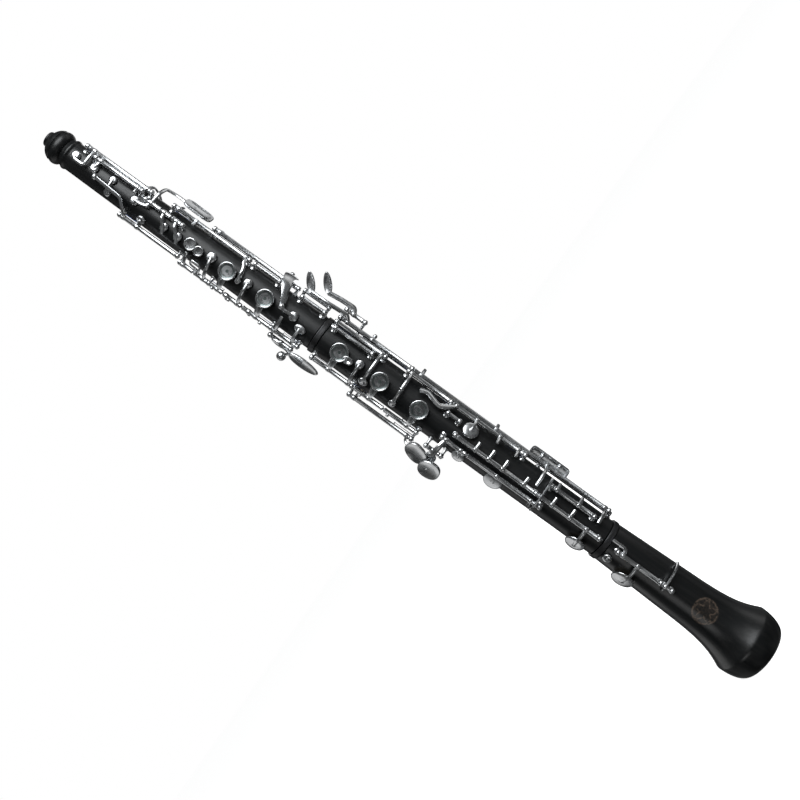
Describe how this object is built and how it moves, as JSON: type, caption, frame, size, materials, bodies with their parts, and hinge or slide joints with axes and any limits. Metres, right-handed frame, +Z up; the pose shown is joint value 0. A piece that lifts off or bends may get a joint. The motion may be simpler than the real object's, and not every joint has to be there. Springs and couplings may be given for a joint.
{
  "type": "oboe",
  "caption": "Oboe with a black wooden body in three joints, silver keys on hinge rods, a bulbous crown and a flared bell.",
  "frame": {"origin": "centre of the bell's rim, which the oboe stands on", "axes": "+Z up the bore towards the reed well; the finger holes face -Y; +X is on the player's left-hand side, where the long low-B-flat rod runs"},
  "size_m": [0.0725, 0.0533, 0.595],
  "materials": {
    "blackwood": "oiled near-black hardwood, satin, turned and polished",
    "silver_plate": "polished silver plate on nickel silver, with fine handling wear",
    "plateau_silver": "silver plate, dulled and lightly brushed where fingers rest",
    "hinge_steel": "bright steel rods in plated posts",
    "cork": "greased natural cork"
  },
  "bodies": {
    "bell_body": {"bell": "blackwood", "bell_socket_ring": "silver_plate", "bell_rod": "hinge_steel"},
    "lower_joint_body": {"lower_joint": "blackwood", "lower_joint_socket_ring": "silver_plate", "lower_tenon_cork": "cork", "thumb_rest": "silver_plate", "f_resonance_rod": "hinge_steel", "low_d_rod": "hinge_steel", "low_b_flat_rod": "hinge_steel", "left_lever_rod": "hinge_steel", "right_hand_stack_rod": "hinge_steel", "e_flat_rod": "hinge_steel", "low_c_touch_rod": "hinge_steel", "low_c_rod": "hinge_steel", "low_b_rod": "hinge_steel", "bridge_rod": "hinge_steel"},
    "upper_joint_body": {"upper_joint": "blackwood", "upper_tenon_cork": "cork", "octave_rod": "hinge_steel", "d_trill_rod": "hinge_steel", "side_octave_rod": "hinge_steel", "upper_vent_rod": "hinge_steel", "g_sharp_rod": "hinge_steel", "c_trill_rod": "hinge_steel", "left_hand_stack_rod": "hinge_steel", "right_trill_rod": "hinge_steel"},
    "thumb_octave_key_body": {"thumb_octave_key": "silver_plate"},
    "d_trill_key_body": {"d_trill_key": "silver_plate"},
    "side_octave_key_body": {"side_octave_key": "silver_plate"},
    "c_trill_key_body": {"c_trill_key": "silver_plate"},
    "upper_c_vent_key_body": {"upper_c_vent_key": "silver_plate"},
    "upper_b_flat_vent_key_body": {"upper_b_flat_vent_key": "silver_plate"},
    "b_flat_vent_key_body": {"b_flat_vent_key": "silver_plate"},
    "half_hole_plate_body": {"half_hole_plate": "plateau_silver"},
    "half_hole_vent_key_body": {"half_hole_vent_key": "silver_plate"},
    "a_key_body": {"a_key": "plateau_silver"},
    "c_vent_key_body": {"c_vent_key": "silver_plate"},
    "g_key_body": {"g_key": "plateau_silver"},
    "f_sharp_vent_key_body": {"f_sharp_vent_key": "silver_plate"},
    "g_sharp_key_body": {"g_sharp_key": "silver_plate"},
    "right_hand_trill_key_body": {"right_hand_trill_key": "silver_plate"},
    "f_sharp_key_body": {"f_sharp_key": "plateau_silver"},
    "e_key_body": {"e_key": "plateau_silver"},
    "d_key_body": {"d_key": "plateau_silver"},
    "f_resonance_key_body": {"f_resonance_key": "silver_plate"},
    "e_cross_key_body": {"e_cross_key": "silver_plate"},
    "low_d_key_body": {"low_d_key": "silver_plate"},
    "e_flat_key_body": {"e_flat_key": "silver_plate"},
    "low_c_touch_body": {"low_c_touch": "silver_plate"},
    "low_c_key_body": {"low_c_key": "silver_plate"},
    "c_sharp_key_body": {"c_sharp_key": "silver_plate"},
    "c_b_link_lever_body": {"c_b_link_lever": "silver_plate"},
    "low_b_key_body": {"low_b_key": "silver_plate"},
    "b_flat_bridge_lever_body": {"b_flat_bridge_lever": "silver_plate"},
    "left_e_flat_lever_body": {"left_e_flat_lever": "silver_plate"},
    "low_b_flat_link_body": {"low_b_flat_link": "silver_plate"},
    "left_b_flat_lever_body": {"left_b_flat_lever": "silver_plate"},
    "bell_b_flat_key_body": {"bell_b_flat_key": "silver_plate"}
  },
  "joints": [
    {"name": "lower_joint_pull", "type": "slide", "parent": "bell_body", "child": "lower_joint_body", "axis": [0, 0, 1], "range_m": [0, 0.025]},
    {"name": "upper_joint_pull", "type": "slide", "parent": "lower_joint_body", "child": "upper_joint_body", "axis": [0, 0, 1], "range_m": [0, 0.025]},
    {"name": "thumb_octave_hinge", "type": "hinge", "parent": "upper_joint_body", "child": "thumb_octave_key_body", "pos_m": [0.01245, -0.00817, 0.53975], "axis": [0, 0, 1], "range_deg": [0, 6], "stiffness_Nm_per_rad": 0.02},
    {"name": "d_trill_hinge", "type": "hinge", "parent": "upper_joint_body", "child": "d_trill_key_body", "pos_m": [0.00986, -0.01095, 0.5374], "axis": [0, 0, 1], "range_deg": [0, 8], "stiffness_Nm_per_rad": 0.02},
    {"name": "side_octave_hinge", "type": "hinge", "parent": "upper_joint_body", "child": "side_octave_key_body", "pos_m": [0.00697, -0.01312, 0.5058], "axis": [0, 0, 1], "range_deg": [0, 10], "stiffness_Nm_per_rad": 0.02},
    {"name": "c_trill_hinge", "type": "hinge", "parent": "upper_joint_body", "child": "c_trill_key_body", "pos_m": [-0.01225, -0.00857, 0.4993], "axis": [0, 0, 1], "range_deg": [-6, 0], "stiffness_Nm_per_rad": 0.02},
    {"name": "upper_c_vent_hinge", "type": "hinge", "parent": "upper_joint_body", "child": "upper_c_vent_key_body", "pos_m": [0.00697, -0.01312, 0.4961], "axis": [0, 0, 1], "range_deg": [0, 8], "stiffness_Nm_per_rad": 0.02},
    {"name": "upper_b_flat_vent_hinge", "type": "hinge", "parent": "upper_joint_body", "child": "upper_b_flat_vent_key_body", "pos_m": [0.00697, -0.01312, 0.4879], "axis": [0, 0, 1], "range_deg": [0, 8], "stiffness_Nm_per_rad": 0.02},
    {"name": "b_flat_vent_hinge", "type": "hinge", "parent": "upper_joint_body", "child": "b_flat_vent_key_body", "pos_m": [0.01389, -0.00739, 0.465], "axis": [0, 0, 1], "range_deg": [0, 6], "stiffness_Nm_per_rad": 0.02},
    {"name": "half_hole_plate_hinge", "type": "hinge", "parent": "upper_joint_body", "child": "half_hole_plate_body", "pos_m": [-0.01477, -0.00785, 0.4658], "axis": [0, 0, 1], "range_deg": [-6, 0], "stiffness_Nm_per_rad": 0.02},
    {"name": "half_hole_vent_hinge", "type": "hinge", "parent": "upper_joint_body", "child": "half_hole_vent_key_body", "pos_m": [-0.01477, -0.00785, 0.4548], "axis": [0, 0, 1], "range_deg": [-6, 0], "stiffness_Nm_per_rad": 0.02},
    {"name": "a_hinge", "type": "hinge", "parent": "upper_joint_body", "child": "a_key_body", "pos_m": [-0.01477, -0.00785, 0.4418], "axis": [0, 0, 1], "range_deg": [0, 4.5], "stiffness_Nm_per_rad": 0.02},
    {"name": "c_vent_hinge", "type": "hinge", "parent": "upper_joint_body", "child": "c_vent_key_body", "pos_m": [-0.01477, -0.00785, 0.4287], "axis": [0, 0, 1], "range_deg": [-6, 0], "stiffness_Nm_per_rad": 0.02},
    {"name": "g_hinge", "type": "hinge", "parent": "upper_joint_body", "child": "g_key_body", "pos_m": [-0.01477, -0.00785, 0.4092], "axis": [0, 0, 1], "range_deg": [0, 4.5], "stiffness_Nm_per_rad": 0.02},
    {"name": "f_sharp_vent_hinge", "type": "hinge", "parent": "upper_joint_body", "child": "f_sharp_vent_key_body", "pos_m": [-0.01477, -0.00785, 0.3858], "axis": [0, 0, 1], "range_deg": [-6, 0], "stiffness_Nm_per_rad": 0.02},
    {"name": "g_sharp_hinge", "type": "hinge", "parent": "upper_joint_body", "child": "g_sharp_key_body", "pos_m": [0.01682, -0.00297, 0.4315], "axis": [0, 0, 1], "range_deg": [0, 6], "stiffness_Nm_per_rad": 0.02},
    {"name": "right_hand_trill_hinge", "type": "hinge", "parent": "upper_joint_body", "child": "right_hand_trill_key_body", "pos_m": [-0.01959, -0.00346, 0.3865], "axis": [0, 0, 1], "range_deg": [0, 6], "stiffness_Nm_per_rad": 0.02},
    {"name": "f_sharp_hinge", "type": "hinge", "parent": "lower_joint_body", "child": "f_sharp_key_body", "pos_m": [-0.01441, -0.01009, 0.34615], "axis": [0, 0, 1], "range_deg": [0, 4.5], "stiffness_Nm_per_rad": 0.02},
    {"name": "e_hinge", "type": "hinge", "parent": "lower_joint_body", "child": "e_key_body", "pos_m": [-0.01441, -0.01009, 0.316], "axis": [0, 0, 1], "range_deg": [0, 4.5], "stiffness_Nm_per_rad": 0.02},
    {"name": "d_hinge", "type": "hinge", "parent": "lower_joint_body", "child": "d_key_body", "pos_m": [-0.01441, -0.01009, 0.2905], "axis": [0, 0, 1], "range_deg": [0, 4.5], "stiffness_Nm_per_rad": 0.02},
    {"name": "f_resonance_hinge", "type": "hinge", "parent": "lower_joint_body", "child": "f_resonance_key_body", "pos_m": [0.01484, -0.00927, 0.3426], "axis": [0, 0, 1], "range_deg": [0, 5], "stiffness_Nm_per_rad": 0.02},
    {"name": "e_cross_hinge", "type": "hinge", "parent": "lower_joint_body", "child": "e_cross_key_body", "pos_m": [0.01592, -0.00759, 0.28685], "axis": [0, 0, 1], "range_deg": [0, 5], "stiffness_Nm_per_rad": 0.02},
    {"name": "low_d_hinge", "type": "hinge", "parent": "lower_joint_body", "child": "low_d_key_body", "pos_m": [0.01592, -0.00759, 0.239], "axis": [0, 0, 1], "range_deg": [-7, 0], "stiffness_Nm_per_rad": 0.02},
    {"name": "e_flat_hinge", "type": "hinge", "parent": "lower_joint_body", "child": "e_flat_key_body", "pos_m": [-0.02044, -0.00664, 0.30225], "axis": [0, 0, 1], "range_deg": [0, 6], "stiffness_Nm_per_rad": 0.02},
    {"name": "low_c_touch_hinge", "type": "hinge", "parent": "lower_joint_body", "child": "low_c_touch_body", "pos_m": [-0.01795, -0.00799, 0.25975], "axis": [0, 0, 1], "range_deg": [-6, 0], "stiffness_Nm_per_rad": 0.02},
    {"name": "low_c_hinge", "type": "hinge", "parent": "lower_joint_body", "child": "low_c_key_body", "pos_m": [-0.00573, -0.01664, 0.2119], "axis": [0, 0, 1], "range_deg": [-9, 0]},
    {"name": "c_sharp_hinge", "type": "hinge", "parent": "lower_joint_body", "child": "c_sharp_key_body", "pos_m": [-0.00573, -0.01664, 0.2507], "axis": [0, 0, 1], "range_deg": [-8, 0], "stiffness_Nm_per_rad": 0.02},
    {"name": "c_b_link_lever_hinge", "type": "hinge", "parent": "lower_joint_body", "child": "c_b_link_lever_body", "pos_m": [0.00062, -0.01768, 0.22185], "axis": [0, 0, 1], "range_deg": [0, 6], "stiffness_Nm_per_rad": 0.02},
    {"name": "low_b_hinge", "type": "hinge", "parent": "lower_joint_body", "child": "low_b_key_body", "pos_m": [0.00062, -0.01768, 0.16325], "axis": [0, 0, 1], "range_deg": [-5, 0]},
    {"name": "b_flat_bridge_lever_hinge", "type": "hinge", "parent": "lower_joint_body", "child": "b_flat_bridge_lever_body", "pos_m": [0.01027, -0.01413, 0.1655], "axis": [0, 0, 1], "range_deg": [0, 4]},
    {"name": "left_e_flat_lever_hinge", "type": "hinge", "parent": "lower_joint_body", "child": "left_e_flat_lever_body", "pos_m": [0.01819, -0.00424, 0.33305], "axis": [0, 0, 1], "range_deg": [0, 6], "stiffness_Nm_per_rad": 0.02},
    {"name": "low_b_flat_link_hinge", "type": "hinge", "parent": "lower_joint_body", "child": "low_b_flat_link_body", "pos_m": [0.01819, -0.00424, 0.22225], "axis": [0, 0, 1], "range_deg": [-4, 0]},
    {"name": "left_b_flat_lever_hinge", "type": "hinge", "parent": "lower_joint_body", "child": "left_b_flat_lever_body", "pos_m": [0.02433, 0.00085, 0.35505], "axis": [0, 0, 1], "range_deg": [0, 8], "stiffness_Nm_per_rad": 0.02},
    {"name": "bell_b_flat_hinge", "type": "hinge", "parent": "bell_body", "child": "bell_b_flat_key_body", "pos_m": [0.00101, -0.01929, 0.10525], "axis": [0, 0, 1], "range_deg": [-5, 0]}
  ],
  "couplings": [
    {"joint": "low_c_hinge", "follows": "low_c_touch_hinge", "ratio": 1.5},
    {"joint": "low_b_flat_link_hinge", "follows": "left_b_flat_lever_hinge", "ratio": -0.5},
    {"joint": "low_b_hinge", "follows": "left_b_flat_lever_hinge", "ratio": -0.625},
    {"joint": "b_flat_bridge_lever_hinge", "follows": "left_b_flat_lever_hinge", "ratio": 0.5},
    {"joint": "bell_b_flat_hinge", "follows": "left_b_flat_lever_hinge", "ratio": -0.625}
  ]
}
